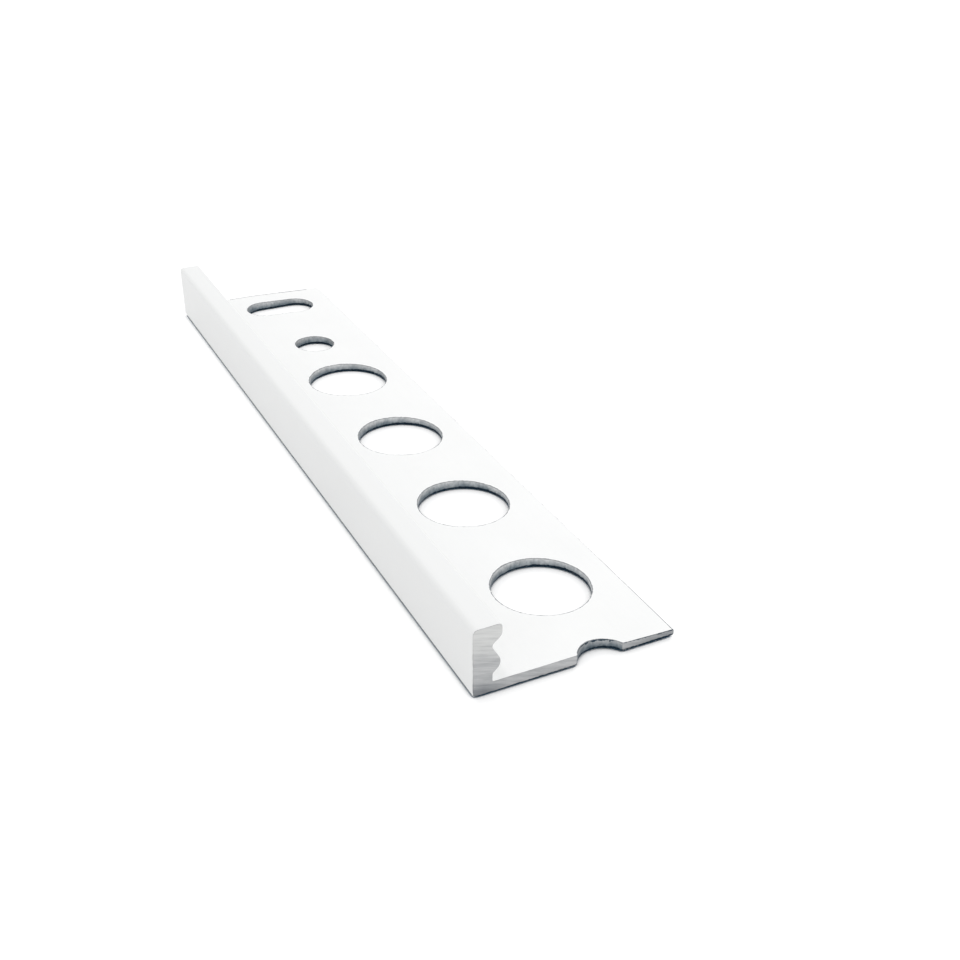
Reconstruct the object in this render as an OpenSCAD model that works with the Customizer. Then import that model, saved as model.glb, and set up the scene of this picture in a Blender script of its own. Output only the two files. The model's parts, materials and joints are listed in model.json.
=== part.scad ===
// Tile edge trim: an extruded L-section with a solid rim, a keyed inner face
// and a thin anchoring leg that is punched for adhesive.
// X runs across the section, from the rim to the leg's free edge. Y runs along
// the length, from the near cut to the far cut. Z is up, from the leg's underside.

/* [Overall] */
// Height of the rim above the leg's underside
trim_height = 10; // [9:0.1:15]
// Width from the rim's outer face to the leg's free edge
trim_width = 29.4; // [26.5:0.1:40]
// Length between the two saw cuts
trim_length = 138.7; // [60:0.1:1250]

/* [Rim] */
// Width of the rim at its top
rim_width = 4; // [3.6:0.1:6]
// Height of the lip's straight inner face, down to the corner it turns in at
lip_height = 1.7; // [1.2:0.1:2.4]
// Wall behind the upper groove, at the corner where its two flanks meet
upper_groove_wall = 2.5; // [1.8:0.1:3]
// Depth of that corner below the top
upper_groove_depth = 3; // [2.6:0.1:3.6]
// Width of the rim at the tooth, at the corner where its two flanks meet
tooth_width = 4.2; // [3.8:0.1:5]
// Height of that corner above the leg's underside
tooth_height = 4.1; // [3.7:0.1:4.6]
// Wall behind the lower groove
lower_groove_wall = 2.7; // [2:0.1:3.2]
// Height at which the lower groove's wall turns out towards the tooth
lower_groove_height = 2.8; // [2.5:0.1:3.2]

/* [Leg] */
// Thickness of the leg's level part, next to the rim
leg_root = 1.5; // [1.2:0.05:2]
// Distance from the rim's outer face at which the leg starts to thin
taper_start = 15; // [8:0.1:22]
// Thickness of the leg at its free edge
leg_edge = 0.9; // [0.7:0.05:1.2]

/* [Rounding] */
// Radius of the rim's outer top corner
outer_top_radius = 0.7; // [0.2:0.05:1.2]
// Radius of the rim's inner top corner
inner_top_radius = 0.5; // [0.2:0.05:0.8]
// Radius under the lip
lip_radius = 1; // [0.4:0.05:1.1]
// Radius in the upper groove
upper_groove_radius = 0.6; // [0.3:0.05:0.9]
// Radius of the tooth
tooth_radius = 1.5; // [0.6:0.05:1.7]
// Radius at the top of the lower groove
lower_groove_radius = 0.4; // [0.2:0.05:0.6]
// Radius in the corner between the rim and the leg
root_radius = 0.3; // [0.1:0.05:0.5]
// Radius of the heel, under the rim's outer face
heel_radius = 0.3; // [0.1:0.05:0.6]
// Radius of both corners of the leg's free edge
edge_radius = 0.25; // [0.1:0.05:0.3]

/* [Punching] */
// Distance from the rim's outer face to the centre line of all punched holes
hole_line = 18.1; // [15:0.1:19]
// Diameter of the large holes
hole_diameter = 14.1; // [8:0.1:16]
// Number of large holes in one run of the punch
hole_count = 4; // [1:1:6]
// Spacing of the large holes
hole_pitch = 24.9; // [18:0.1:40]
// Diameter of the small holes before and after each run
small_diameter = 7.4; // [4:0.1:12]
// Distance from the near cut to the first small hole's centre, below 0 outside the cut
first_small = -1.6; // [-3:0.1:20]
// Distance from the first small hole to the first large one
lead_in = 17.5; // [14:0.1:30]
// Distance from the last large hole to the second small one
lead_out = 18.3; // [14:0.1:30]
// Distance from each small hole to the slot that parts two runs
slot_gap = 21.5; // [14:0.1:40]
// Length of the slot, across the leg
slot_length = 13.8; // [8:0.1:16]
// Width of the slot, along the leg
slot_width = 7.4; // [4:0.1:8]

/* [Hidden] */
$fn = 96;

// The punch repeats after one run of large holes, two small ones and a slot
run_length = (hole_count - 1) * hole_pitch;
repeat_length = lead_in + run_length + lead_out + 2 * slot_gap;
last_repeat = ceil((trim_length - first_small) / repeat_length);
near_cut = -trim_length / 2;
// The punching tool reaches above the leg and below it by this much
tool_reach = 1;

// Each corner of the section, anticlockwise from the heel, as [x, z, radius]
corners = [
    [0, 0, heel_radius],
    [trim_width, 0, edge_radius],
    [trim_width, leg_edge, edge_radius],
    [taper_start, leg_root, 0],
    [lower_groove_wall, leg_root, root_radius],
    [lower_groove_wall, lower_groove_height, lower_groove_radius],
    [tooth_width, tooth_height, tooth_radius],
    [upper_groove_wall, trim_height - upper_groove_depth, upper_groove_radius],
    [rim_width, trim_height - lip_height, lip_radius],
    [rim_width, trim_height, inner_top_radius],
    [0, trim_height, outer_top_radius],
];
corner_count = len(corners);

function place(i) = let (c = corners[(i + corner_count) % corner_count]) [c[0], c[1]];
function towards(i, step) = let (d = place(i + step) - place(i)) d / norm(d);
// Half of the angle between the two sides that meet at corner i
function half_angle(i) = acos(towards(i, -1) * towards(i, 1)) / 2;
// How far from corner i its arc leaves a side, with the radius as stated
function wanted_reach(i) = let (k = (i + corner_count) % corner_count) corners[k][2] / tan(half_angle(k));
// The share of that reach for which the side from corner i to the next has room
function room(i) = min(1, norm(place(i + 1) - place(i)) / (wanted_reach(i) + wanted_reach(i + 1)));
function share(i) = min(room(i - 1), room(i));
function reach(i) = wanted_reach(i) * share(i);
function arc_radius(i) = corners[i][2] * share(i);
function arc_centre(i) =
    let (middle = towards(i, -1) + towards(i, 1))
    place(i) + middle / norm(middle) * arc_radius(i) / sin(half_angle(i));
function turn(i) = let (a = -towards(i, -1), b = towards(i, 1)) a[0] * b[1] - a[1] * b[0];

// The discs that round the corners turning outwards (side 1) or inwards (side -1)
module corner_discs(side) {
    for (i = [0 : corner_count - 1])
        if (turn(i) * side > 0 && arc_radius(i) > 0)
            translate(arc_centre(i)) circle(r = arc_radius(i));
}

// The section: straight sides between the arcs, with a true arc at each corner
module section() {
    difference() {
        union() {
            polygon([
                for (i = [0 : corner_count - 1])
                    for (step = arc_radius(i) > 0 ? [-1, 1] : [1])
                        place(i) + towards(i, step) * reach(i)
            ]);
            corner_discs(1);
        }
        corner_discs(-1);
    }
}

// A round hole through the leg, at a distance from the near cut
module round_hole(distance, diameter) {
    translate([hole_line, near_cut + distance, -tool_reach])
        cylinder(d = diameter, h = leg_root + 2 * tool_reach);
}

// A slot with round ends through the leg, long across it
module slot(distance) {
    straight = slot_length - slot_width;
    for (side = [-1, 1])
        translate([side * straight / 2, 0, 0]) round_hole(distance, slot_width);
    translate([hole_line - straight / 2, near_cut + distance - slot_width / 2, -tool_reach])
        cube([straight, slot_width, leg_root + 2 * tool_reach]);
}

// One repeat of the punch, from its first small hole to its slot
module punch_run(start) {
    first_hole = start + lead_in;
    second_small = first_hole + run_length + lead_out;
    round_hole(start, small_diameter);
    for (i = [0 : hole_count - 1])
        round_hole(first_hole + i * hole_pitch, hole_diameter);
    round_hole(second_small, small_diameter);
    slot(second_small + slot_gap);
}

module edge_trim() {
    color([0.93, 0.93, 0.92])
        translate([-trim_width / 2, 0, 0])
            difference() {
                rotate([90, 0, 0]) linear_extrude(height = trim_length, center = true) section();
                for (k = [-1 : last_repeat])
                    punch_run(first_small + k * repeat_length);
            }
}

edge_trim();
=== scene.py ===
import json
import math

import bpy
import numpy as np
from bpy.props import FloatProperty, FloatVectorProperty, PointerProperty
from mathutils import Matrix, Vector


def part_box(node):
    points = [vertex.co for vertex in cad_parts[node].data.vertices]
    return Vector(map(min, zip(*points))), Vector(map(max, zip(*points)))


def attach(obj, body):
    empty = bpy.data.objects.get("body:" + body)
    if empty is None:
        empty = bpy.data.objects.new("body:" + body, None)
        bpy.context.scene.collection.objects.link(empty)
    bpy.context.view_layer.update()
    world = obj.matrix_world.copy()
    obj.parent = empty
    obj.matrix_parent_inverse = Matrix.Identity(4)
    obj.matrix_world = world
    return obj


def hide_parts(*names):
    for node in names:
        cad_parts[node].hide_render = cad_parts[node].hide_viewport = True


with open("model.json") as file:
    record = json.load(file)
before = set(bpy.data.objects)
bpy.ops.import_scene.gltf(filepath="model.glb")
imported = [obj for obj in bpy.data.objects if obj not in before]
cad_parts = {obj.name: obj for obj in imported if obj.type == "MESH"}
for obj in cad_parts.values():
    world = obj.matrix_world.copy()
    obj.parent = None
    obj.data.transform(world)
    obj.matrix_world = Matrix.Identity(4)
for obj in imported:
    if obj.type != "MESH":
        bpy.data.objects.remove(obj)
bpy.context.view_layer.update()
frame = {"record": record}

bl_info = {
    "name": "Tile Edge Trim",
    "version": (1, 0, 0),
    "blender": (4, 5, 0),
    "location": "View3D > Sidebar > Edge Trim",
    "description": "Builds a white coated tile edge trim with sawn ends and a punched leg, and its stage",
    "category": "Add Mesh",
}

NODE = "edge_trim"
PIECE = "coated_edge_trim"
CUT_DISTANCE = "cut_distance"
MM = 0.001

# The trim's box and its holes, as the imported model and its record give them
node_low, node_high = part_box(NODE)
OUTER_FACE = node_low.x
FREE_EDGE = node_high.x
NEAR_CUT = node_low.y
FAR_CUT = node_high.y
TRIM_TOP = node_high.z
ROUND_HOLES = [m for m in frame["record"]["mounts"] if m["kind"] == "bore"]
SLOT_BOX = next(o["box_m"] for o in frame["record"]["physics"]["openings"] if o["name"] == "slot")
HOLE_LINE = ROUND_HOLES[0]["pos_m"][0]
SMALL_RADIUS = min(m["dims"]["r_mm"] for m in ROUND_HOLES) * MM
LARGE_RADIUS = max(m["dims"]["r_mm"] for m in ROUND_HOLES) * MM

# The piece's material slots
COAT, SAWN, PUNCHED = 0, 1, 2

# Points on the arcs of the section. The arcs of the two top corners pair up, and so do those of the free
# edge. The root's arc pairs with the heel's and with the steps on both sides of the heel.
EDGE_ARC = 9
TOP_ARC = 9
HEEL_ARC = 5
HEEL_STEPS = 3
ROOT_ARC = HEEL_ARC + 2 * HEEL_STEPS
LOWER_GROOVE_ARC = 5
TOOTH_ARC = 15
UPPER_GROOVE_ARC = 11
LIP_ARC = 9

# Steps across the leg, from the rim's root to the punched strip, and points across that strip
LEG_STEPS = 5
STRIP_POINTS = 25

# Steps along the trim in a hole's cell of the strip: their length, the fewest of them, and the power with
# which they crowd towards a saw cut
STATION_STEP = 1 * MM
FEWEST_STATIONS = 13
SAW_CROWDING = 1.5

# Steps up a punched wall: in its torn foot, in the sheared metal above it and in the roll-over at the top
FOOT_STEPS = 5
SHEAR_STEPS = 3
ROLL_STEPS = 4

# Steps from a hole's edge to the border of its cell, and the power with which they crowd towards the edge
RING_STEPS = 6
RING_CROWDING = 1.6

# The torn foot widens with this power of the depth, and its waves lean by this angle over a wall's height
TEAR_POWER = 1.5
WAVE_LEAN = 2.0

# The way that the line of worn coat and painted shade on the free edge faces, up from level
WEAR_AND_SHADE_FACING = math.radians(65)

# Nicks of the saw: radians of a fast sine per metre across and up, and the multiple whose fraction is taken
NICK_ACROSS = 91e3
NICK_UP = 57e3
NICK_SPREAD = 437.585

# Points nearer than this are one, and faces that meet at a wider angle than this have a sharp edge
WELD_STEP = 1e-6 * MM
SHARP_ANGLE = math.radians(35)


# Settings that a user would change

def length(name, description, default):
    """A length, in metres."""
    return FloatProperty(
        name=name, description=description, default=default, min=0.0, unit="LENGTH", precision=5
    )


def colour(name, description, default):
    """A linear colour."""
    return FloatVectorProperty(
        name=name, description=description, default=default, size=3, min=0.0, max=1.0, subtype="COLOR"
    )


def share(name, description, default):
    """A share from 0 to 1."""
    return FloatProperty(
        name=name, description=description, default=default, min=0.0, max=1.0, subtype="FACTOR"
    )


def place(name, description, default):
    """A point in the trim's frame, in metres."""
    return FloatVectorProperty(
        name=name, description=description, default=default, size=3, subtype="TRANSLATION", precision=5
    )


class EdgeTrimSection(bpy.types.PropertyGroup):
    """Sizes of the extruded section."""

    rim_width: length("Rim width", "Width of the rim at its top", 4 * MM)
    lip_height: length("Lip height", "Height of the lip's straight inner face", 1.7 * MM)
    upper_groove_wall: length("Upper groove wall", "Wall at the corner of the upper groove", 2.5 * MM)
    upper_groove_depth: length("Upper groove depth", "Depth of that corner below the top", 3 * MM)
    tooth_width: length("Tooth width", "Width of the rim at the corner of the tooth", 4.2 * MM)
    tooth_height: length("Tooth height", "Height of that corner above the underside", 4.1 * MM)
    lower_groove_wall: length("Lower groove wall", "Wall behind the lower groove", 2.7 * MM)
    lower_groove_height: length("Lower groove height", "Height at which that wall turns out", 2.8 * MM)
    leg_root: length("Leg root", "Thickness of the leg's level part, by the rim", 1.5 * MM)
    taper_start: length("Taper start", "Distance from the outer face at which the leg thins", 15 * MM)
    leg_edge: length("Leg edge", "Thickness of the leg at its free edge", 0.9 * MM)
    outer_top_radius: length("Outer top radius", "Radius of the rim's outer top corner", 0.7 * MM)
    inner_top_radius: length("Inner top radius", "Radius of the rim's inner top corner", 0.5 * MM)
    lip_radius: length("Lip radius", "Radius under the lip", 1 * MM)
    upper_groove_radius: length("Upper groove radius", "Radius in the upper groove", 0.6 * MM)
    tooth_radius: length("Tooth radius", "Radius of the tooth", 1.5 * MM)
    lower_groove_radius: length("Lower groove radius", "Radius in the lower groove", 0.4 * MM)
    root_radius: length("Root radius", "Radius between the rim and the leg", 0.3 * MM)
    heel_radius: length("Heel radius", "Radius under the rim's outer face", 0.3 * MM)
    edge_radius: length("Edge radius", "Radius of the leg's free edge", 0.25 * MM)


class EdgeTrimCuts(bpy.types.PropertyGroup):
    """What the punch and the saw leave on the metal."""

    half_hole: length("Half hole", "How far outside the near cut the half hole's centre lies", 1.6 * MM)
    slot_length: length("Slot length", "Length of the slot, across the leg", 13.8 * MM)
    slot_width: length("Slot width", "Width of the slot, along the leg", 7.4 * MM)
    strip_margin: length("Strip margin", "Leg beside the large holes in the punched strip", 1.5 * MM)
    roll_over: length("Roll-over", "Radius to which the punch draws the top edge down", 0.05 * MM)
    tear_height: length("Tear height", "Height of the torn foot of a punched wall", 0.2 * MM)
    # The dark foot's rise towards the free edge is painted shade
    tear_shade_slope: share("Tear shade slope", "How fast the torn foot rises towards the free edge", 0.0177)
    tear_flare: length("Tear flare", "How far the torn foot widens at the underside", 0.06 * MM)
    tear_waves: length("Tear waves", "Depth of the waves in the torn foot", 0.03 * MM)
    saw_bevel: length("Saw bevel", "Width of the blunted edge round a saw cut", 0.05 * MM)
    saw_nicks: length("Saw nicks", "Depth of the nicks in that edge", 0.1 * MM)
    # Wear fades along the trim from the near cut; the limit keeps a line of painted shade along the rest of
    # the free edge
    wear_fade: share("Wear fade", "How fast wear on the free edge fades along the trim", 0.0056)
    edge_shade_limit: length("Edge shade limit", "Where that fading stops", 0.13 * MM)
    saw_care: FloatProperty(
        name="Saw care",
        description="How many times narrower than the punch the saw chips the coat",
        default=5.0,
        min=1.0,
    )


class EdgeTrimFinish(bpy.types.PropertyGroup):
    """Colours and surface of the coat and of the bare metal."""

    leg_colour: colour("Leg coat", "White powder coat on the leg", (0.96, 0.965, 0.963))
    # The rim's top and the rim's faces are the leg's white darkened by painted shade, the faces more; the
    # face turn is where the faces' painted shade ends
    rim_top_shade_colour: colour("Rim coat", "White powder coat on the rim's top", (0.9, 0.907, 0.905))
    face_shade_colour: colour("Face coat", "White powder coat on the rim's faces", (0.882, 0.889, 0.887))
    face_shade_turn: length("Face turn", "How far in from the outer face the face's tone ends", 0.95 * MM)
    coat_roughness: share("Coat roughness", "Roughness of the satin coat", 0.42)
    thin_roughness: share("Thin roughness", "How much rougher the coat is where it is thin", 0.06)
    coat_gloss: share("Coat gloss", "How strongly the satin coat mirrors, 0.5 being plain plastic", 0.25)
    peel_size: length("Peel size", "Size of the fine waves in the coat", 0.5 * MM)
    peel_depth: length("Peel depth", "Depth of the fine waves in the coat", 0.004 * MM)
    chip_width: length("Chip width", "How far the coat may be chipped beside a hole", 0.2 * MM)
    # The chips' metal colour also paints the shade line along the free edge
    chip_and_edge_shade_colour: colour("Chips", "Metal in the chips of the coat", (0.28, 0.29, 0.3))
    # Sawn and sheared metal go from a dark colour at the foot to a light one at the top: painted shade, not
    # a change in the metal
    sawn_shade_dark: colour("Sawn foot", "Sawn metal up to the tooth", (0.495, 0.5, 0.505))
    sawn_shade_light: colour("Sawn top", "Sawn metal at the rim's top", (0.6, 0.605, 0.6))
    sheared_shade_dark: colour("Sheared foot", "Punched wall above its torn foot", (0.215, 0.258, 0.287))
    sheared_shade_light: colour("Sheared top", "Punched wall at the leg's top", (0.66, 0.668, 0.67))
    # Dark colour of torn metal and of marks, also used for painted shade at the underside of the cuts
    dark_metal_and_shade_colour: colour("Torn", "Rough metal at the foot of a cut, and dark marks", (0.02, 0.04, 0.065))
    metal_roughness: share("Metal roughness", "Roughness of smooth cut metal", 0.38)
    mark_roughness: share("Mark roughness", "Roughness of the marks in cut metal", 0.6)
    torn_roughness: share("Torn roughness", "Roughness of torn or soiled metal", 0.8)
    # Painted shade that darkens the cuts towards the underside
    rim_cut_shade: share("Rim cut shade", "How far a cut darkens towards the underside of the rim", 0.52)
    leg_cut_shade: share("Leg cut shade", "How far a cut darkens towards the underside of the leg", 0.03)
    edge_cut_shade: share("Edge cut shade", "How much more a cut darkens towards the free edge", 0.3)
    notch_soil: share("Notch soil", "How far the wall darkens that the near cut goes through", 0.28)
    saw_tilt: FloatProperty(
        name="Saw tilt",
        description="Slope of the saw's lines across the section",
        default=math.radians(17),
        subtype="ANGLE",
    )


class EdgeTrimStage(bpy.types.PropertyGroup):
    """Camera, floor and light."""

    camera_place: place("Camera place", "Where the camera stands", (-0.066740, -0.177445, 0.098921))
    camera_turn: FloatVectorProperty(
        name="Camera turn",
        description="Tilt, roll and heading of the camera",
        default=(math.radians(60.3951), math.radians(-0.1036), math.radians(-26.0463)),
        size=3,
        subtype="EULER",
    )
    camera_lens: FloatProperty(
        name="Camera lens",
        description="Focal length on a sensor 36 mm wide",
        default=46.72,
        min=1.0,
        subtype="DISTANCE_CAMERA",
    )
    floor_size: length("Floor size", "Width of the square floor", 4.0)
    floor_gap: length("Floor gap", "How far the floor lies below the trim", 0.33 * MM)
    floor_bounce: share("Floor bounce", "How much light the floor gives back to the trim", 0.86)
    floor_white: share("Floor white", "Diffuse white of the floor where it is seen directly", 0.85)
    floor_glow: share("Floor glow", "White that the open floor adds where it is seen directly", 0.33)
    contact_colour: colour("Contact shadow", "The floor in the gap under the trim", (0.045, 0.085, 0.13))
    contact_reach: length("Contact reach", "How near a thing shades the floor in contact", 1.2 * MM)
    sky_strength: FloatProperty(
        name="Sky strength",
        description="Strength of the even light from all round",
        default=0.93,
        min=0.0,
    )
    lamp_power: FloatProperty(
        name="Lamp power",
        description="Power of the soft lamp",
        default=2.45,
        min=0.0,
        unit="POWER",
    )
    lamp_place: place("Lamp place", "Where the soft lamp hangs", (0.8, 0.55, 0.8))
    lamp_size: length("Lamp size", "Width of the square soft lamp", 1.2)


# The section

def unit(vector):
    """The vector at length 1."""
    return vector / np.linalg.norm(vector)


def corner_arc(before, corner, after, radius, count):
    """Points of the arc that rounds a corner, from the side before it to the side after it.

    The centre lies on the bisector of the two sides, radius / sin(half angle) from the corner. The
    points turn about it in equal steps, through the angle by which the outline changes direction.
    """
    back = unit(before - corner)
    ahead = unit(after - corner)
    half = math.acos(float(back @ ahead)) / 2
    centre = corner + unit(back + ahead) * radius / math.sin(half)
    spoke = corner + back * radius / math.tan(half) - centre
    side = np.sign(back[1] * ahead[0] - back[0] * ahead[1])
    angle = np.linspace(0.0, side * (math.pi - 2 * half), count)
    x = spoke[0] * np.cos(angle) - spoke[1] * np.sin(angle)
    z = spoke[0] * np.sin(angle) + spoke[1] * np.cos(angle)
    return centre + np.stack([x, z], axis=1)


def leg_top(section, x):
    """Height of the leg's top at x: level from the rim, then straight down to the free edge."""
    start = OUTER_FACE + section.taper_start
    return np.interp(x, [start, FREE_EDGE], [section.leg_root, section.leg_edge])


def section_outlines(section, strip):
    """The section as two outlines of paired points, from the free edge along the leg and up the rim.

    The first is the underside, the heel and the outer face, the second the leg's top and the keyed
    inner face. Straight sides join the arcs of the corners, and a point of one outline faces its partner
    on the other. strip holds x across the punched strip, from the rim's side. Also returns the places in
    the outlines of the strip's two ends, the one towards the free edge first.
    """
    taper = OUTER_FACE + section.taper_start
    wall = OUTER_FACE + section.lower_groove_wall
    tooth_tip = OUTER_FACE + section.tooth_width
    upper_wall = OUTER_FACE + section.upper_groove_wall
    upper_level = TRIM_TOP - section.upper_groove_depth
    rim = OUTER_FACE + section.rim_width
    # Each corner as x, z, radius and points on its arc
    corners = [
        (FREE_EDGE, 0.0, section.edge_radius, EDGE_ARC),
        (FREE_EDGE, section.leg_edge, section.edge_radius, EDGE_ARC),
        (taper, section.leg_root, 0.0, 1),
        (wall, section.leg_root, section.root_radius, ROOT_ARC),
        (wall, section.lower_groove_height, section.lower_groove_radius, LOWER_GROOVE_ARC),
        (tooth_tip, section.tooth_height, section.tooth_radius, TOOTH_ARC),
        (upper_wall, upper_level, section.upper_groove_radius, UPPER_GROOVE_ARC),
        (rim, TRIM_TOP - section.lip_height, section.lip_radius, LIP_ARC),
        (rim, TRIM_TOP, section.inner_top_radius, TOP_ARC),
        (OUTER_FACE, TRIM_TOP, section.outer_top_radius, TOP_ARC),
        (OUTER_FACE, 0.0, section.heel_radius, HEEL_ARC),
    ]
    x, z, radii, counts = zip(*corners)
    points = np.stack([x, z], axis=1)
    before = np.roll(points, 1, axis=0)
    after = np.roll(points, -1, axis=0)
    arcs = [corner_arc(*corner) for corner in zip(before, points, after, radii, counts)]
    edge_foot, edge_head, _, root, groove, tooth, upper_groove, lip, inner_top, outer_top, heel = arcs
    keys = np.concatenate([groove, tooth, upper_groove, lip])
    leg = np.concatenate([strip[::-1], np.linspace(strip[0], root[0, 0], LEG_STEPS + 1)[1:-1]])
    under_rim = np.linspace([root[0, 0], 0.0], heel[-1], HEEL_STEPS + 1)[:-1]
    up_rim = np.linspace(heel[0], [OUTER_FACE, root[-1, 1]], HEEL_STEPS + 1)[1:]
    keyed_span = [keys[0, 1], inner_top[0, 1]]
    outer_span = [keys[0, 1], outer_top[-1, 1]]
    outer_height = np.interp(keys[:, 1], keyed_span, outer_span)
    lower = np.concatenate([
        edge_foot[::-1],
        np.stack([leg, np.zeros(len(leg))], axis=1),
        under_rim,
        heel[::-1],
        up_rim,
        np.stack([np.full(len(keys), OUTER_FACE), outer_height], axis=1),
        outer_top[::-1],
    ])
    upper = np.concatenate([
        edge_head,
        np.stack([leg, leg_top(section, leg)], axis=1),
        root,
        keys,
        inner_top,
    ])
    return lower, upper, len(edge_foot), len(edge_foot) + len(strip) - 1


# The punched strip of the leg

def hole_row(cuts):
    """The holes from the near cut on: place along the trim, radius, and straight part across the leg."""
    half_hole = [NEAR_CUT - cuts.half_hole, SMALL_RADIUS, 0.0]
    holes = sorted([m["pos_m"][1], m["dims"]["r_mm"] * MM, 0.0] for m in ROUND_HOLES)
    slot_place = (SLOT_BOX[0][1] + SLOT_BOX[1][1]) / 2
    slot = [slot_place, cuts.slot_width / 2, cuts.slot_length - cuts.slot_width]
    return np.array([half_hole, *holes, slot])


def cell_stations(cuts, holes):
    """Places along the trim for each hole's cell of the strip.

    Cells meet halfway between the edges of neighbouring holes. Steps are even, but beside a saw cut the
    first is the blunted edge and the next grow with a power of their share of the cell.
    """
    beyond = holes[:-1, 0] + holes[:-1, 1]
    ahead = holes[1:, 0] - holes[1:, 1]
    borders = np.concatenate([[NEAR_CUT], (beyond + ahead) / 2, [FAR_CUT]])
    cells = []
    for start, end in zip(borders[:-1], borders[1:]):
        count = max(FEWEST_STATIONS, round((end - start) / STATION_STEP))
        steps = np.linspace(0.0, 1.0, count + 1)
        blunted = cuts.saw_bevel / (end - start)
        if start == NEAR_CUT:
            steps = np.insert(steps**SAW_CROWDING, 1, blunted)
        if end == FAR_CUT:
            steps = np.insert(1.0 - (1.0 - steps)**SAW_CROWDING, len(steps) - 1, 1.0 - blunted)
        cells.append(start * (1.0 - steps) + end * steps)
    return cells


def wall_profile(section, cuts):
    """A punched wall from the underside up: share of the leg's thickness, widening, and wave strength.

    The torn foot widens with a power of the depth below its top, and its waves fade out there with the
    root of that depth. The top edge is a quarter of a circle, the roll-over that the punch draws down,
    and its lower end is returned last.
    """
    thickness = leg_top(section, HOLE_LINE)
    torn = cuts.tear_height / thickness
    rolled = 1.0 - cuts.roll_over / thickness
    foot = np.linspace(0.0, torn, FOOT_STEPS + 1)[:-1]
    sheared = np.linspace(torn, rolled, SHEAR_STEPS + 1)[:-1]
    edge = rolled + (1.0 - rolled) * np.sin(np.linspace(0.0, math.pi / 2, ROLL_STEPS + 1))
    levels = np.concatenate([foot, sheared, edge])
    depth = np.clip(1.0 - levels / torn, 0.0, 1.0)
    turned = np.clip((levels - rolled) / (1.0 - rolled), 0.0, 1.0)
    widening = cuts.tear_flare * depth**TEAR_POWER + cuts.roll_over * (1.0 - np.sqrt(1.0 - turned**2))
    return levels, widening, np.sqrt(depth), rolled


def ring_steps():
    """Shares of the way from a hole's edge to the border of its cell: even steps raised to a power."""
    return np.linspace(0.0, 1.0, RING_STEPS + 1)**RING_CROWDING


def tear_waves(angle, turn):
    """Waves about a hole, from -1 to 1: four sines of whole counts, shifted from hole to hole."""
    counts = np.array([5, 11, 19, 31])
    heights = np.array([0.3, 0.3, 0.25, 0.15])
    shift = turn * np.array([1.3, 2.1, 3.7, 5.9])
    return (heights * np.sin(angle[..., None] * counts + shift)).sum(axis=-1)


def cut_end_distance(y):
    """Distance along the trim to the nearer saw cut."""
    return np.minimum(y - NEAR_CUT, FAR_CUT - y)


def punched_cell(section, cuts, hole, turn, strip, stations):
    """One hole in its cell of the leg, as a grid: rows climb the surface, columns run round the hole.

    Each column starts at a point of the cell's border. The hole's edge lies on the line from the nearest
    point of the hole's straight middle to that border point, one radius from the middle. Rows run along
    the underside to the hole, up its wall by the wall's profile, and back along the top. The half hole
    is open at the saw cut: its columns share out the arc that is left at each radius. Also returns the
    two ends of the wall, which the half hole's saw cut meets.
    """
    centre_y, radius, straight = hole
    near, far = stations[0], stations[-1]
    is_open = centre_y < NEAR_CUT
    sides = [
        [np.full(len(stations) - 1, strip[0]), stations[:-1]],
        [strip[:-1], np.full(len(strip) - 1, far)],
        [np.full(len(stations), strip[-1]), stations[::-1]],
    ]
    if not is_open:
        sides.append([strip[::-1][1:], np.full(len(strip) - 1, near)])
    border = np.concatenate([np.stack(side, axis=1) for side in sides])
    middle = HOLE_LINE + np.clip(border[:, 0] - HOLE_LINE, -straight / 2, straight / 2)
    angle = np.arctan2(border[:, 0] - middle, border[:, 1] - centre_y)
    levels, widening, wave_strength, rolled = wall_profile(section, cuts)
    leaning = angle + WAVE_LEAN * levels[:, None]
    waves = cuts.tear_waves * wave_strength[:, None] * tear_waves(leaning, turn)
    reach = radius + widening[:, None] + waves
    if is_open:
        fan = angle / np.where(angle < 0, -angle[0], angle[-1])
        angle = fan * np.arccos((NEAR_CUT - centre_y) / reach)
    wall = np.stack([middle + reach * np.sin(angle), centre_y + reach * np.cos(angle)], axis=-1)
    if is_open:
        wall[:, [0, -1], 1] = NEAR_CUT
    steps = ring_steps()[1:, None, None]
    below = (wall[0] * (1.0 - steps) + border * steps)[::-1]
    above = wall[-1] * (1.0 - steps) + border * steps
    plan = np.concatenate([below, wall, above])
    heights = np.concatenate([np.zeros(len(below)), levels, np.ones(len(above))])
    z = heights[:, None] * leg_top(section, plan[..., 0])
    from_hole = np.concatenate([
        np.linalg.norm(below - wall[0], axis=-1),
        np.maximum(levels - rolled, 0.0)[:, None] * leg_top(section, wall[..., 0]),
        np.linalg.norm(above - wall[-1], axis=-1) + cuts.roll_over,
    ])
    distance = np.minimum(from_hole, cuts.saw_care * cut_end_distance(plan[..., 1]))
    material = np.full(len(plan) - 1, COAT)
    material[len(below):len(below) + FOOT_STEPS + SHEAR_STEPS] = PUNCHED
    grid = np.concatenate([plan, z[..., None]], axis=-1)
    wall_grid = grid[len(below):len(below) + len(levels)]
    return (grid, material, distance), (wall_grid[:, 0], wall_grid[:, -1])


# The whole trim

def extruded_strip(cuts, outline, stations):
    """A stretch of the section's outline carried along the trim: rows follow it, columns the length."""
    shape = (len(outline), len(stations))
    x = np.broadcast_to(outline[:, :1], shape)
    y = np.broadcast_to(stations, shape)
    z = np.broadcast_to(outline[:, 1:], shape)
    material = np.full(len(outline) - 1, COAT)
    return np.stack([x, y, z], axis=-1), material, cuts.saw_care * cut_end_distance(y)


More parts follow.
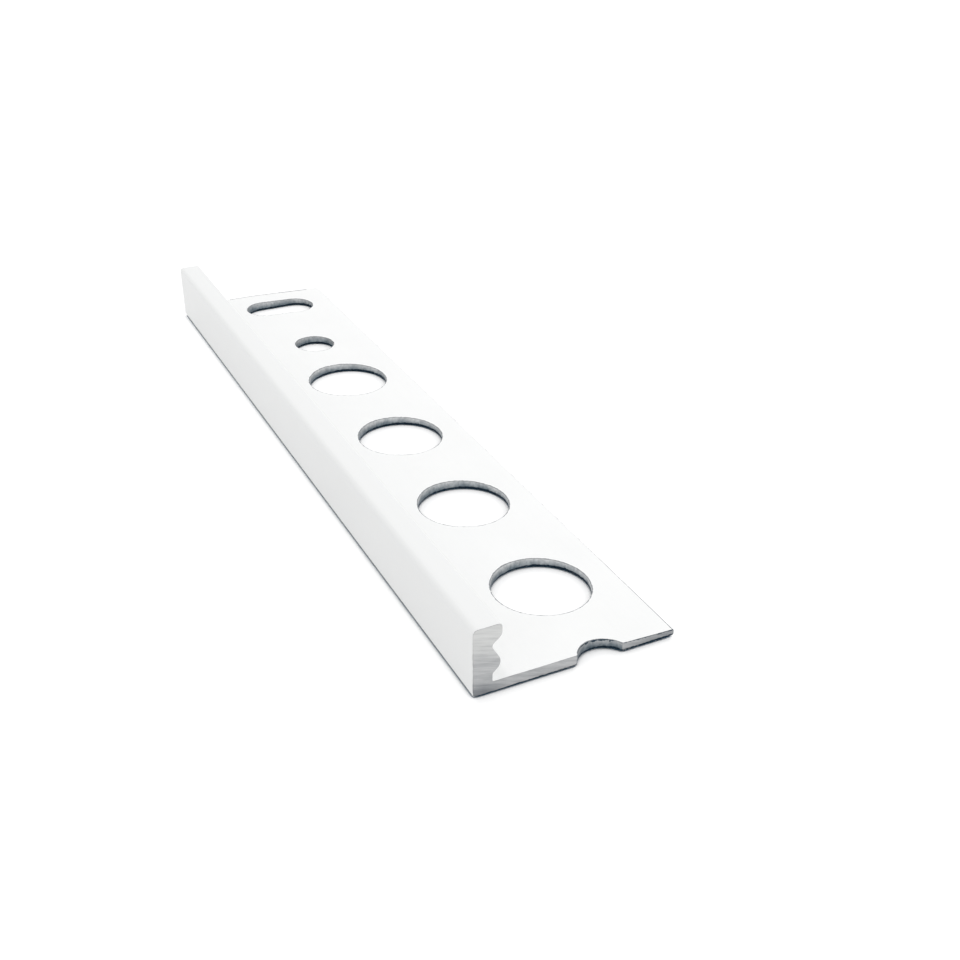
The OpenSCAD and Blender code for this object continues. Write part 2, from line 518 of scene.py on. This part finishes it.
def worn_and_shaded_edge(section, cuts, grid):
    """Distance from the line on the free edge, worn coat near the near cut and painted shade along the
    rest, which counts as a cut of the coat does.

    The band lies along the upper arc of the edge, about the line where the arc faces upwards by a
    given angle. The distance grows with the saw's care, and away from the near cut up to a limit that keeps
    painted shade along the edge.
    """
    facing = np.array([math.cos(WEAR_AND_SHADE_FACING), math.sin(WEAR_AND_SHADE_FACING)])
    line = np.array([FREE_EDGE, section.leg_edge]) - section.edge_radius * (1.0 - facing)
    half_band = section.edge_radius / 3
    reach = np.linalg.norm(grid[..., [0, 2]] - line, axis=-1) - half_band
    fading = np.minimum((grid[..., 1] - NEAR_CUT) * cuts.wear_fade, cuts.edge_shade_limit)
    return cuts.saw_care * np.maximum(reach, 0.0) + fading


def sawn_face(ribs, y):
    """Part of a saw cut: rows are ribs of the section, columns go from its lower outline to its upper."""
    grid = np.stack([ribs[..., 0], np.full(ribs.shape[:2], y), ribs[..., 1]], axis=-1)
    return grid, np.full(len(ribs) - 1, SAWN), np.zeros(ribs.shape[:2])


def trim_grids(section, cuts):
    """Every grid of the trim's surface, each with its materials by row and its distances from a cut.

    A rib joins two partners of the section's outlines, in the steps of a punched wall. The rim and the
    free edge are stretches of the section carried along the trim, with a cell for each hole between
    them. The saw cuts are the ribs, beside the half hole from its wall's ends to the strip's borders.
    """
    reach = LARGE_RADIUS + cuts.strip_margin
    strip = np.linspace(HOLE_LINE - reach, HOLE_LINE + reach, STRIP_POINTS)
    lower, upper, strip_out, strip_in = section_outlines(section, strip)
    levels = wall_profile(section, cuts)[0]
    ribs = lower[:, None] * (1.0 - levels[:, None]) + upper[:, None] * levels[:, None]
    holes = hole_row(cuts)
    cells = cell_stations(cuts, holes)
    stations = np.concatenate([cells[0], *[cell[1:] for cell in cells[1:]]])
    rim_outline = np.concatenate([upper[strip_in:], ribs[-1, -2:0:-1], lower[strip_in:][::-1]])
    edge_outline = np.concatenate([lower[:strip_out + 1][::-1], ribs[0, 1:-1], upper[:strip_out + 1]])
    edge, coated, distance = extruded_strip(cuts, edge_outline, stations)
    # Worn coat near the near cut and painted shade along the rest of the free edge
    worn_and_shaded = np.minimum(distance, worn_and_shaded_edge(section, cuts, edge))
    punched = [
        punched_cell(section, cuts, hole, turn, strip, cell)
        for turn, (hole, cell) in enumerate(zip(holes, cells))
    ]
    grids = [extruded_strip(cuts, rim_outline, stations), (edge, coated, worn_and_shaded)]
    grids.extend(grid for grid, _ in punched)
    half_hole_ends = punched[0][1]
    steps = ring_steps()[:, None]
    beside = []
    for end, border in zip(half_hole_ends, [strip[0], strip[-1]]):
        x = end[:, 0] * (1.0 - steps) + border * steps
        beside.append(np.stack([x, levels * leg_top(section, x)], axis=-1))
    grids.append(sawn_face(np.concatenate([ribs[:strip_out], beside[1][::-1]]), NEAR_CUT))
    grids.append(sawn_face(np.concatenate([beside[0], ribs[strip_in + 1:]]), NEAR_CUT))
    far_face, sawn, distance = sawn_face(ribs, FAR_CUT)
    grids.append((far_face[::-1], sawn, distance))
    return grids


def weld_grids(grids):
    """One closed surface from the grids: points that share a place to a nanometre become one.

    A surface is closed and faces one way when each side of a face is met once, in the other direction,
    and it faces outwards when the volume that its faces sweep from the origin is positive.
    """
    corners, materials, points, distances = [], [], [], []
    offset = 0
    for grid, material, distance in grids:
        rows, columns = grid.shape[:2]
        index = offset + np.arange(rows * columns).reshape(rows, columns)
        quads = np.stack([index[:-1, :-1], index[:-1, 1:], index[1:, 1:], index[1:, :-1]], axis=-1)
        corners.append(quads.reshape(-1, 4))
        materials.append(np.repeat(material, columns - 1))
        points.append(grid.reshape(-1, 3))
        distances.append(distance.reshape(-1))
        offset += rows * columns
    points = np.concatenate(points)
    keys = np.round(points / WELD_STEP).astype(np.int64)
    _, first, merged = np.unique(keys, axis=0, return_index=True, return_inverse=True)
    quads = merged.reshape(-1)[np.concatenate(corners)]
    points = points[first]
    start = quads.reshape(-1)
    end = np.roll(quads, -1, axis=1).reshape(-1)
    forward = np.sort(start * len(points) + end)
    backward = np.sort(end * len(points) + start)
    if len(np.unique(forward)) != len(forward) or not np.array_equal(forward, backward):
        raise RuntimeError("The trim's surface isn't closed")
    a, b, c, d = (points[quads[:, i]] for i in range(4))
    if (np.cross(c - a, d - b) * a).sum() <= 0:
        raise RuntimeError("The trim's surface faces inwards")
    return points, quads, np.concatenate(materials), np.concatenate(distances)[first]


def blunt_saw_edges(points, quads, materials, cuts):
    """The points with the edges of both saw cuts blunted and nicked.

    An edge point moves into the metal against the mean direction of the faces beside the cut, and along
    the trim by a share of the nicks' depth, the fraction of a large multiple of a fast sine.
    """
    beside = quads[materials != SAWN]
    a, b, c, d = (points[beside[:, i]] for i in range(4))
    facing = np.cross(c - a, d - b)
    facing /= np.linalg.norm(facing, axis=1)[:, None]
    outward = np.zeros_like(points)
    np.add.at(outward, beside.reshape(-1), np.repeat(facing, 4, axis=0))
    outward[:, 1] = 0.0
    size = np.linalg.norm(outward, axis=1)
    edge = (cut_end_distance(points[:, 1]) < WELD_STEP) & (size > 0)
    nick = np.sin(points[:, 0] * NICK_ACROSS + points[:, 2] * NICK_UP) * NICK_SPREAD
    nick -= np.floor(nick)
    blunted = points.copy()
    blunted[edge] -= outward[edge] / size[edge, None] * cuts.saw_bevel
    blunted[edge, 1] -= np.sign(points[edge, 1]) * cuts.saw_nicks * nick[edge]
    return blunted


class MESH_OT_edge_trim_add(bpy.types.Operator):
    """Add the coated trim: rim with its keyed inner face, punched leg and both saw cuts"""

    bl_idname = "mesh.edge_trim_add"
    bl_label = "Add Edge Trim"
    bl_options = {"REGISTER", "UNDO"}

    def execute(self, context):
        section = context.scene.edge_trim_section
        cuts = context.scene.edge_trim_cuts
        finish = context.scene.edge_trim_finish
        points, quads, materials, distances = weld_grids(trim_grids(section, cuts))
        points = blunt_saw_edges(points, quads, materials, cuts)
        mesh = bpy.data.meshes.new(PIECE)
        mesh.from_pydata(points.tolist(), [], quads.tolist())
        mesh.polygons.foreach_set("material_index", materials.astype(np.int32))
        mesh.polygons.foreach_set("use_smooth", np.ones(len(quads), dtype=bool))
        attribute = mesh.attributes.new(CUT_DISTANCE, "FLOAT", "POINT")
        attribute.data.foreach_set("value", distances.astype(np.float32))
        mesh.set_sharp_from_angle(angle=SHARP_ANGLE)
        mesh.materials.append(powder_coat(section, finish))
        mesh.materials.append(sawn_metal(section, finish))
        mesh.materials.append(punched_metal(section, finish, cuts))
        mesh.update()
        trim = bpy.data.objects.new(PIECE, mesh)
        context.scene.collection.objects.link(trim)
        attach(trim, "root")
        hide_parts(NODE)
        return {"FINISHED"}


# Materials

# The coat's marks: lines along the extrusion, their height beside the fine waves, patches where the coat
# is thin, the lines' share in those, how far the leg's tone gives way there, and the chips with their metal
LINE_SIZE = (0.5 * MM, 60 * MM, 0.5 * MM)
LINE_HEIGHT = 0.3
PATCH_SIZE = 9 * MM
LINE_SHARE = 0.4
THIN_SHARE = 0.25
CHIP_SIZE = 0.5 * MM
CHIP_GRAIN = (0.2 * MM, 0.2 * MM, 0.2 * MM)
CHIP_MARKS = 0.4

# The bare metal's marks: flecks beside the long marks, patches of tone, and the ragged lines at which the
# torn foot and the burr end, each with the width over which it ends
FLECK_SIZE = 0.27
FLECK_SHARE = 0.35
TONE_SIZE = 2.5 * MM
TORN_SIZE = 0.4 * MM
TORN_SOFTNESS = 0.08 * MM
BURR_SIZE = 0.9 * MM
BURR_SOFTNESS = 0.04 * MM


def feed(tree, node, inputs):
    """Give a node its inputs: other nodes' outputs are linked, and values are set on the sockets."""
    for name, value in inputs.items():
        if isinstance(value, bpy.types.NodeSocket):
            tree.links.new(value, node.inputs[name])
        else:
            node.inputs[name].default_value = value


def add_node(tree, kind, inputs, **settings):
    """A node with its settings and its inputs."""
    node = tree.nodes.new(kind)
    for name, value in settings.items():
        setattr(node, name, value)
    feed(tree, node, inputs)
    return node


def maths(tree, operation, a, b=0.0, c=0.0, clamp=False):
    """The output of a Math node."""
    node = add_node(tree, "ShaderNodeMath", {0: a, 1: b, 2: c}, operation=operation, use_clamp=clamp)
    return node.outputs[0]


def mix_colours(tree, factor, a, b):
    """The output of a Mix node between two colours."""
    node = add_node(tree, "ShaderNodeMix", {0: factor, 6: a, 7: b}, data_type="RGBA")
    return node.outputs[2]


def mix_values(tree, factor, a, b):
    """The output of a Mix node between two values."""
    node = add_node(tree, "ShaderNodeMix", {0: factor, 2: a, 3: b}, data_type="FLOAT")
    return node.outputs[0]


def noise(tree, vector, size, detail, roughness):
    """Noise whose features are about a size across, with finer ones by its detail and roughness."""
    inputs = {"Vector": vector, "Scale": 1.0 / size, "Detail": detail, "Roughness": roughness}
    return add_node(tree, "ShaderNodeTexNoise", inputs).outputs[0]


def stretched(tree, vector, size, turn=(0.0, 0.0, 0.0)):
    """The vector turned, then divided by a size along each axis, so that a pattern gets that size."""
    inputs = {"Vector": vector, "Rotation": turn, "Scale": size}
    return add_node(tree, "ShaderNodeMapping", inputs, vector_type="TEXTURE").outputs[0]


def axis(tree, vector, name):
    """One coordinate of a vector."""
    return add_node(tree, "ShaderNodeSeparateXYZ", {0: vector}).outputs[name]


def climb(tree, value, start, end, low=0.0, high=1.0):
    """From low to high while the value goes from start to end, and level beyond."""
    inputs = {"Value": value, "From Min": start, "From Max": end, "To Min": low, "To Max": high}
    return add_node(tree, "ShaderNodeMapRange", inputs).outputs[0]


def opaque(rgb):
    """A colour with its alpha."""
    return (*rgb, 1.0)


def group_tree(name, inputs, outputs):
    """A new shader node group. Returns its tree, the sockets that it is given and its output node."""
    tree = bpy.data.node_groups.new(name, "ShaderNodeTree")
    for socket, kind in inputs.items():
        tree.interface.new_socket(name=socket, in_out="INPUT", socket_type=kind)
    for socket, kind in outputs.items():
        tree.interface.new_socket(name=socket, in_out="OUTPUT", socket_type=kind)
    return tree, tree.nodes.new("NodeGroupInput").outputs, tree.nodes.new("NodeGroupOutput")


def bare_metal_group(finish):
    """Colour, roughness and height of cut metal: smooth, with long marks and flecks of another colour."""
    name = "Bare cut metal"
    if name in bpy.data.node_groups:
        return bpy.data.node_groups[name]
    sockets = {
        "Vector": "NodeSocketVector",
        "Smooth": "NodeSocketColor",
        "Marked": "NodeSocketColor",
        "Marks": "NodeSocketFloat",
    }
    results = {"Color": "NodeSocketColor", "Roughness": "NodeSocketFloat", "Height": "NodeSocketFloat"}
    tree, given, made = group_tree(name, sockets, results)
    streaks = noise(tree, given["Vector"], 1.0, detail=4.0, roughness=0.6)
    flecks = noise(tree, given["Vector"], FLECK_SIZE, detail=2.0, roughness=0.5)
    furrow = climb(tree, mix_values(tree, FLECK_SHARE, streaks, flecks), start=0.62, end=0.36)
    marked = maths(tree, "MULTIPLY", furrow, given["Marks"])
    feed(tree, made, {
        "Color": mix_colours(tree, marked, given["Smooth"], given["Marked"]),
        "Roughness": mix_values(tree, furrow, finish.metal_roughness, finish.mark_roughness),
        "Height": maths(tree, "SUBTRACT", 1.0, furrow),
    })
    return tree


def torn_and_shaded_foot_group():
    """Mask of the dark foot of a cut, partly rough torn metal and partly painted shade: 1 below a ragged
    line at a height above the underside.
    """
    name = "Torn foot"
    if name in bpy.data.node_groups:
        return bpy.data.node_groups[name]
    sockets = {"Vector": "NodeSocketVector", "Height": "NodeSocketFloat", "Ragged": "NodeSocketFloat"}
    tree, given, made = group_tree(name, sockets, {"Mask": "NodeSocketFloat"})
    rough = noise(tree, given["Vector"], TORN_SIZE, detail=4.0, roughness=0.65)
    waver = maths(tree, "SUBTRACT", rough, 0.5)
    raised = maths(tree, "MULTIPLY_ADD", waver, given["Ragged"], given["Height"])
    below = maths(tree, "SUBTRACT", raised, axis(tree, given["Vector"], "Z"))
    feed(tree, made, {"Mask": maths(tree, "DIVIDE", below, TORN_SOFTNESS, clamp=True)})
    return tree


def burr_group(section):
    """Mask of the dark burr on a cut: 1 above a ragged line at a depth below the leg's top."""
    name = "Dark burr"
    if name in bpy.data.node_groups:
        return bpy.data.node_groups[name]
    sockets = {"Vector": "NodeSocketVector", "Depth": "NodeSocketFloat"}
    tree, given, made = group_tree(name, sockets, {"Mask": "NodeSocketFloat"})
    x = axis(tree, given["Vector"], "X")
    z = axis(tree, given["Vector"], "Z")
    taper = OUTER_FACE + section.taper_start
    top = climb(tree, x, taper, FREE_EDGE, section.leg_root, section.leg_edge)
    below = maths(tree, "ABSOLUTE", maths(tree, "SUBTRACT", top, z))
    rough = noise(tree, given["Vector"], BURR_SIZE, detail=4.0, roughness=0.7)
    ragged = maths(tree, "MULTIPLY", climb(tree, rough, start=0.4, end=0.58), given["Depth"])
    above = maths(tree, "SUBTRACT", ragged, below)
    feed(tree, made, {"Mask": climb(tree, above, 0.0, BURR_SOFTNESS)})
    return tree


def add_group(tree, group, inputs):
    """The outputs of a group placed in a material with its own values."""
    return add_node(tree, "ShaderNodeGroup", inputs, node_tree=group).outputs


def empty_tree(owner):
    """The emptied node tree of a material or a world."""
    owner.use_nodes = True
    owner.node_tree.nodes.clear()
    return owner.node_tree


def new_material(name):
    """A material with its tree, its shader and its Object coordinates."""
    material = bpy.data.materials.new(name)
    tree = empty_tree(material)
    shader = tree.nodes.new("ShaderNodeBsdfPrincipled")
    add_node(tree, "ShaderNodeOutputMaterial", {"Surface": shader.outputs[0]})
    coordinates = tree.nodes.new("ShaderNodeTexCoord").outputs["Object"]
    return material, tree, shader, coordinates


def coat_tone_and_shade(tree, section, finish, x, thin):
    """Tone of the coat across the section, with painted shade: the rim's faces darkest, the rim's top
    between them a little lighter, and the leg in the coat's own white.

    Where the coat is thin, the leg's tone gives way a little to the one beside it.
    """
    rim = OUTER_FACE + section.rim_width
    turn = OUTER_FACE + finish.face_shade_turn
    turn_softness = 0.3 * MM
    past_turn = climb(tree, x, turn - turn_softness, turn + turn_softness)
    inner_turn = 0.4 * section.inner_top_radius
    past_top = climb(tree, x, rim - section.inner_top_radius, rim - inner_turn)
    on_top = maths(tree, "SUBTRACT", past_turn, past_top, clamp=True)
    # Painted shade: the rim's faces and top are darker copies of the leg's coat
    shaded_rim_coat = mix_colours(tree, on_top, opaque(finish.face_shade_colour), opaque(finish.rim_top_shade_colour))
    on_leg = climb(tree, x, start=rim + 0.3 * MM, end=rim + 1.5 * MM)
    spread = maths(tree, "MULTIPLY_ADD", thin, -THIN_SHARE, on_leg, clamp=True)
    return mix_colours(tree, spread, shaded_rim_coat, opaque(finish.leg_colour))


def chip_mask(tree, finish, coordinates):
    """Mask of the chips in the coat, and of the line of painted shade along the free edge: 1 where the
    distance from a cut is below a ragged width.
    """
    distance = add_node(tree, "ShaderNodeAttribute", {}, attribute_name=CUT_DISTANCE).outputs["Fac"]
    narrowest = 0.2 * finish.chip_width
    softness = 0.1 * finish.chip_width
    spots = noise(tree, coordinates, CHIP_SIZE, detail=4.0, roughness=0.7)
    ragged = climb(tree, spots, start=0.33, end=0.67, low=narrowest, high=finish.chip_width)
    return climb(tree, maths(tree, "SUBTRACT", ragged, distance), 0.0, softness)


def powder_coat(section, finish):
    """Satin white powder coat: fine waves, faint lines along the extrusion, chips beside the cuts, painted
    shade on the rim, and a line of painted shade along the free edge.
    """
    material, tree, shader, coordinates = new_material("white_powder_coat")
    peel = noise(tree, coordinates, finish.peel_size, detail=2.0, roughness=0.5)
    along = stretched(tree, coordinates, LINE_SIZE)
    lines = noise(tree, along, 1.0, detail=3.0, roughness=0.6)
    height = maths(tree, "MULTIPLY_ADD", lines, LINE_HEIGHT, peel)
    bump = add_node(tree, "ShaderNodeBump", {"Height": height, "Distance": finish.peel_depth})
    patches = noise(tree, coordinates, PATCH_SIZE, detail=3.0, roughness=0.6)
    thin = climb(tree, mix_values(tree, LINE_SHARE, patches, lines), start=0.35, end=0.65)
    tone = coat_tone_and_shade(tree, section, finish, axis(tree, coordinates, "X"), thin)
    rougher = finish.coat_roughness + finish.thin_roughness
    satin = mix_values(tree, thin, finish.coat_roughness, rougher)
    # The chips include a line of painted shade along the free edge
    chip = chip_mask(tree, finish, coordinates)
    metal = add_group(tree, bare_metal_group(finish), {
        "Vector": stretched(tree, coordinates, CHIP_GRAIN),
        "Smooth": opaque(finish.chip_and_edge_shade_colour),
        "Marked": opaque(finish.dark_metal_and_shade_colour),
        "Marks": CHIP_MARKS,
    })
    feed(tree, shader, {
        "Base Color": mix_colours(tree, chip, tone, metal["Color"]),
        "Metallic": chip,
        "Roughness": mix_values(tree, chip, satin, metal["Roughness"]),
        "Specular IOR Level": finish.coat_gloss,
        "Normal": bump.outputs[0],
    })
    return material


def underside_shade_mask(tree, section, finish, x, z, edge_cut_shade):
    """How far painted shade darkens a cut: fully at the underside, and less up to a height where it ends.

    Under the rim it has one share and on the leg another, and a third is added towards the free edge.
    """
    rim = OUTER_FACE + section.rim_width
    shade_top = 1.7 * section.leg_root
    to_leg = climb(tree, x, rim - 2.5 * MM, rim + 1 * MM, low=finish.rim_cut_shade, high=finish.leg_cut_shade)
    to_edge = climb(tree, x, HOLE_LINE, FREE_EDGE - 3 * MM, low=0.0, high=edge_cut_shade)
    downwards = climb(tree, z, start=shade_top, end=0.0)
    return maths(tree, "MULTIPLY", maths(tree, "ADD", to_leg, to_edge), downwards)


def cut_metal(name, section, finish, look):
    """Bare metal with painted shade that lightens it upwards, with marks along one direction and a dark
    foot that is partly torn metal and partly painted shade.

    look holds the lower and the upper colour of the painted shade, the heights between which one turns into
    the other, how far that wavers and how fast it sinks towards the free edge, the share of marks below and
    above, their size and turn, the dark foot's height on the hole line, how fast it rises towards the free
    edge and how ragged it is, how much more painted shade lies at the underside towards the free edge, and
    the depth of the relief.
    Returns the material, its tree, its shader, its coordinates and the socket of its colour.
    """
    material, tree, shader, coordinates = new_material(name)
    x = axis(tree, coordinates, "X")
    z = axis(tree, coordinates, "Z")
    tones = noise(tree, coordinates, TONE_SIZE, detail=2.0, roughness=0.5)
    patches = maths(tree, "SUBTRACT", tones, 0.5)
    aside = maths(tree, "SUBTRACT", x, HOLE_LINE)
    leaning = maths(tree, "MULTIPLY_ADD", aside, look["lean"], z)
    wavering = maths(tree, "MULTIPLY_ADD", patches, look["waver"], leaning)
    # Painted shade: the metal darkens towards the underside, and on the punched walls also away from the
    # free edge
    light = climb(tree, wavering, *look["heights"])
    low, high = look["colours"]
    metal = add_group(tree, bare_metal_group(finish), {
        "Vector": stretched(tree, coordinates, look["grain"], look["turn"]),
        "Smooth": mix_colours(tree, light, opaque(low), opaque(high)),
        "Marked": opaque(finish.dark_metal_and_shade_colour),
        "Marks": climb(tree, light, 0.0, 1.0, *look["marks"]),
    })
    foot = add_group(tree, torn_and_shaded_foot_group(), {
        "Vector": coordinates,
        "Height": maths(tree, "MULTIPLY_ADD", aside, look["foot_shade_slope"], look["foot"]),
        "Ragged": look["ragged"],
    })
    # Painted shade at the underside, joined with the dark foot
    darkened = underside_shade_mask(tree, section, finish, x, z, look["edge_cut_shade"])
    torn = maths(tree, "MAXIMUM", foot["Mask"], darkened)
    base = mix_colours(tree, torn, metal["Color"], opaque(finish.dark_metal_and_shade_colour))
    bump = add_node(tree, "ShaderNodeBump", {"Height": metal["Height"], "Distance": look["relief"]})
    feed(tree, shader, {
        "Metallic": 1.0,
        "Roughness": mix_values(tree, torn, metal["Roughness"], finish.torn_roughness),
        "Normal": bump.outputs[0],
    })
    return material, tree, shader, coordinates, base


def sawn_metal(section, finish):
    """Metal of the saw cuts: lines of the blade, and a burr towards the free edge whose darkness is partly
    its own metal and partly painted shade.
    """
    look = {
        # The colours and heights paint shade that darkens the cut towards the underside
        "colours": (finish.sawn_shade_dark, finish.sawn_shade_light),
        "heights": (0.45 * TRIM_TOP, 0.75 * TRIM_TOP),
        "waver": 2 * MM,
        "lean": 0.0,
        "marks": (0.22, 0.1),
        "grain": (7 * MM, 1 * MM, 0.45 * MM),
        "turn": (0.0, finish.saw_tilt, 0.0),
        # A dark foot at the underside, partly torn metal and partly painted shade, which rises towards the
        # free edge as painted shade
        "foot": 0.2 * MM,
        "foot_shade_slope": 0.007,
        "ragged": 0.4 * MM,
        "edge_cut_shade": finish.edge_cut_shade,
        "relief": 0.01 * MM,
    }
    material, tree, shader, coordinates, base = cut_metal("sawn_metal", section, finish, look)
    x = axis(tree, coordinates, "X")
    # The burr's dark band along the leg's top edge is partly painted shade
    depth = climb(tree, x, HOLE_LINE, HOLE_LINE + 4 * MM, low=0.0, high=0.2 * MM)
    burr = add_group(tree, burr_group(section), {"Vector": coordinates, "Depth": depth})["Mask"]
    feed(tree, shader, {"Base Color": mix_colours(tree, burr, base, opaque(finish.dark_metal_and_shade_colour))})
    return material


def punched_metal(section, finish, cuts):
    """Metal of the punched walls: upright marks of the punch, and dark where the near cut goes through."""
    look = {
        # The colours, heights and lean paint shade: darker towards the underside and away from the free
        # edge
        "colours": (finish.sheared_shade_dark, finish.sheared_shade_light),
        "heights": (cuts.tear_height, 0.85 * section.leg_root),
        "waver": 1.6 * MM,
        "lean": 0.034,
        "marks": (0.55, 0.22),
        "grain": (0.35 * MM, 0.35 * MM, 0.7 * MM),
        "turn": (0.0, 0.0, 0.0),
        # The dark foot rises towards the free edge as painted shade
        "foot": cuts.tear_height,
        "foot_shade_slope": cuts.tear_shade_slope,
        "ragged": 0.7 * MM,
        "edge_cut_shade": 0.0,
        "relief": 0.02 * MM,
    }
    material, tree, shader, coordinates, base = cut_metal("punched_metal", section, finish, look)
    y = axis(tree, coordinates, "Y")
    in_notch = climb(tree, y, start=NEAR_CUT + 3 * MM, end=NEAR_CUT + 2.5 * MM)
    burr_depth = 0.4 * MM
    depth = maths(tree, "MULTIPLY", in_notch, burr_depth)
    burr = add_group(tree, burr_group(section), {"Vector": coordinates, "Depth": depth})["Mask"]
    darkened = maths(tree, "MULTIPLY", in_notch, finish.notch_soil)
    dark = maths(tree, "MAXIMUM", burr, darkened)
    feed(tree, shader, {"Base Color": mix_colours(tree, dark, base, opaque(finish.dark_metal_and_shade_colour))})
    return material


# The stage

# How open the floor is where the contact shadow is full, and where it ends
GAP_OPEN = 0.4
FLOOR_OPEN = 0.58

# The camera's sensor, in millimetres, and the nearest thing that it sees, in metres
SENSOR_WIDTH = 36.0
NEAREST_SEEN = 10 * MM


def seen_directly(tree):
    """1 for rays from the camera and for mirrored or refracted ones, else 0."""
    rays = tree.nodes.new("ShaderNodeLightPath").outputs
    mirrored = maths(tree, "MAXIMUM", rays["Is Glossy Ray"], rays["Is Transmission Ray"])
    return maths(tree, "MAXIMUM", rays["Is Camera Ray"], mirrored)


def pale_floor(stage):
    """White floor that gives back a share of the light to the object.

    Where it is seen directly it glows a little, so that shadows stay narrow, except in the gap under a
    thing, where it darkens to the colour of the contact shadow.
    """
    material = bpy.data.materials.new("pale_floor")
    tree = empty_tree(material)
    nearby = add_node(tree, "ShaderNodeAmbientOcclusion", {"Distance": stage.contact_reach}, samples=8)
    clear = climb(tree, nearby.outputs["AO"], GAP_OPEN, FLOOR_OPEN)
    white = opaque([stage.floor_white] * 3)
    seen = mix_colours(tree, clear, opaque(stage.contact_colour), white)
    lit = add_node(tree, "ShaderNodeBsdfDiffuse", {"Color": seen})
    glow = maths(tree, "MULTIPLY", clear, stage.floor_glow)
    added = add_node(tree, "ShaderNodeEmission", {"Strength": glow})
    shown = add_node(tree, "ShaderNodeAddShader", {0: lit.outputs[0], 1: added.outputs[0]})
    bounce = add_node(tree, "ShaderNodeBsdfDiffuse", {"Color": opaque([stage.floor_bounce] * 3)})
    sides = {0: seen_directly(tree), 1: bounce.outputs[0], 2: shown.outputs[0]}
    shader = add_node(tree, "ShaderNodeMixShader", sides)
    add_node(tree, "ShaderNodeOutputMaterial", {"Surface": shader.outputs[0]})
    return material


def studio_sky(strength):
    """Even light from all round, in front of a white backdrop."""
    world = bpy.data.worlds.new("studio_sky")
    tree = empty_tree(world)
    level = mix_values(tree, seen_directly(tree), strength, 1.0)
    light = add_node(tree, "ShaderNodeBackground", {"Color": (1.0, 1.0, 1.0, 1.0), "Strength": level})
    add_node(tree, "ShaderNodeOutputWorld", {"Surface": light.outputs[0]})
    return world


def add_floor(scene, stage):
    """A square floor under the trim, which isn't part of it."""
    half = stage.floor_size / 2
    level = -stage.floor_gap
    corners = [(-half, -half, level), (half, -half, level), (half, half, level), (-half, half, level)]
    mesh = bpy.data.meshes.new("floor")
    mesh.from_pydata(corners, [], [(0, 1, 2, 3)])
    mesh.materials.append(pale_floor(stage))
    floor = bpy.data.objects.new("floor", mesh)
    scene.collection.objects.link(floor)


def add_lamp(scene, stage):
    """A square soft lamp that faces the origin."""
    lamp_data = bpy.data.lights.new("soft_lamp", "AREA")
    lamp_data.energy = stage.lamp_power
    lamp_data.size = stage.lamp_size
    lamp = bpy.data.objects.new("soft_lamp", lamp_data)
    lamp.location = stage.lamp_place
    lamp.rotation_euler = Vector(stage.lamp_place).to_track_quat("Z", "Y").to_euler()
    scene.collection.objects.link(lamp)


def add_camera(scene, stage):
    """The camera, at the angle of the photograph."""
    camera_data = bpy.data.cameras.new("camera")
    camera_data.lens = stage.camera_lens
    camera_data.sensor_width = SENSOR_WIDTH
    camera_data.clip_start = NEAREST_SEEN
    camera = bpy.data.objects.new("camera", camera_data)
    camera.location = stage.camera_place
    camera.rotation_euler = stage.camera_turn
    scene.collection.objects.link(camera)
    scene.camera = camera


class SCENE_OT_edge_trim_stage(bpy.types.Operator):
    """Set the floor, the soft light and the camera"""

    bl_idname = "scene.edge_trim_stage"
    bl_label = "Set Edge Trim Stage"
    bl_options = {"REGISTER", "UNDO"}

    def execute(self, context):
        scene = context.scene
        stage = scene.edge_trim_stage
        add_floor(scene, stage)
        add_lamp(scene, stage)
        add_camera(scene, stage)
        scene.world = studio_sky(stage.sky_strength)
        scene.view_settings.view_transform = "Standard"
        return {"FINISHED"}


class VIEW3D_PT_edge_trim(bpy.types.Panel):
    """Settings and steps of the edge trim"""

    bl_idname = "VIEW3D_PT_edge_trim"
    bl_label = "Edge Trim"
    bl_space_type = "VIEW_3D"
    bl_region_type = "UI"
    bl_category = "Edge Trim"

    def draw(self, context):
        for title, name, group, operator in PANEL_ROWS:
            box = self.layout.box()
            box.label(text=title)
            for setting in group.__annotations__:
                box.prop(getattr(context.scene, name), setting)
            if operator:
                box.operator(operator)


PANEL_ROWS = [
    ("Section", "edge_trim_section", EdgeTrimSection, None),
    ("Cuts", "edge_trim_cuts", EdgeTrimCuts, None),
    ("Finish", "edge_trim_finish", EdgeTrimFinish, MESH_OT_edge_trim_add.bl_idname),
    ("Stage", "edge_trim_stage", EdgeTrimStage, SCENE_OT_edge_trim_stage.bl_idname),
]
GROUPS = [group for _, _, group, _ in PANEL_ROWS]
CLASSES = [*GROUPS, MESH_OT_edge_trim_add, SCENE_OT_edge_trim_stage, VIEW3D_PT_edge_trim]


def register():
    for cls in CLASSES:
        bpy.utils.register_class(cls)
    for _, name, group, _ in PANEL_ROWS:
        setattr(bpy.types.Scene, name, PointerProperty(type=group))


def unregister():
    for _, name, _, _ in PANEL_ROWS:
        delattr(bpy.types.Scene, name)
    for cls in reversed(CLASSES):
        bpy.utils.unregister_class(cls)


def main():
    register()
    bpy.ops.mesh.edge_trim_add()
    bpy.ops.scene.edge_trim_stage()


if __name__ == "__main__":
    main()
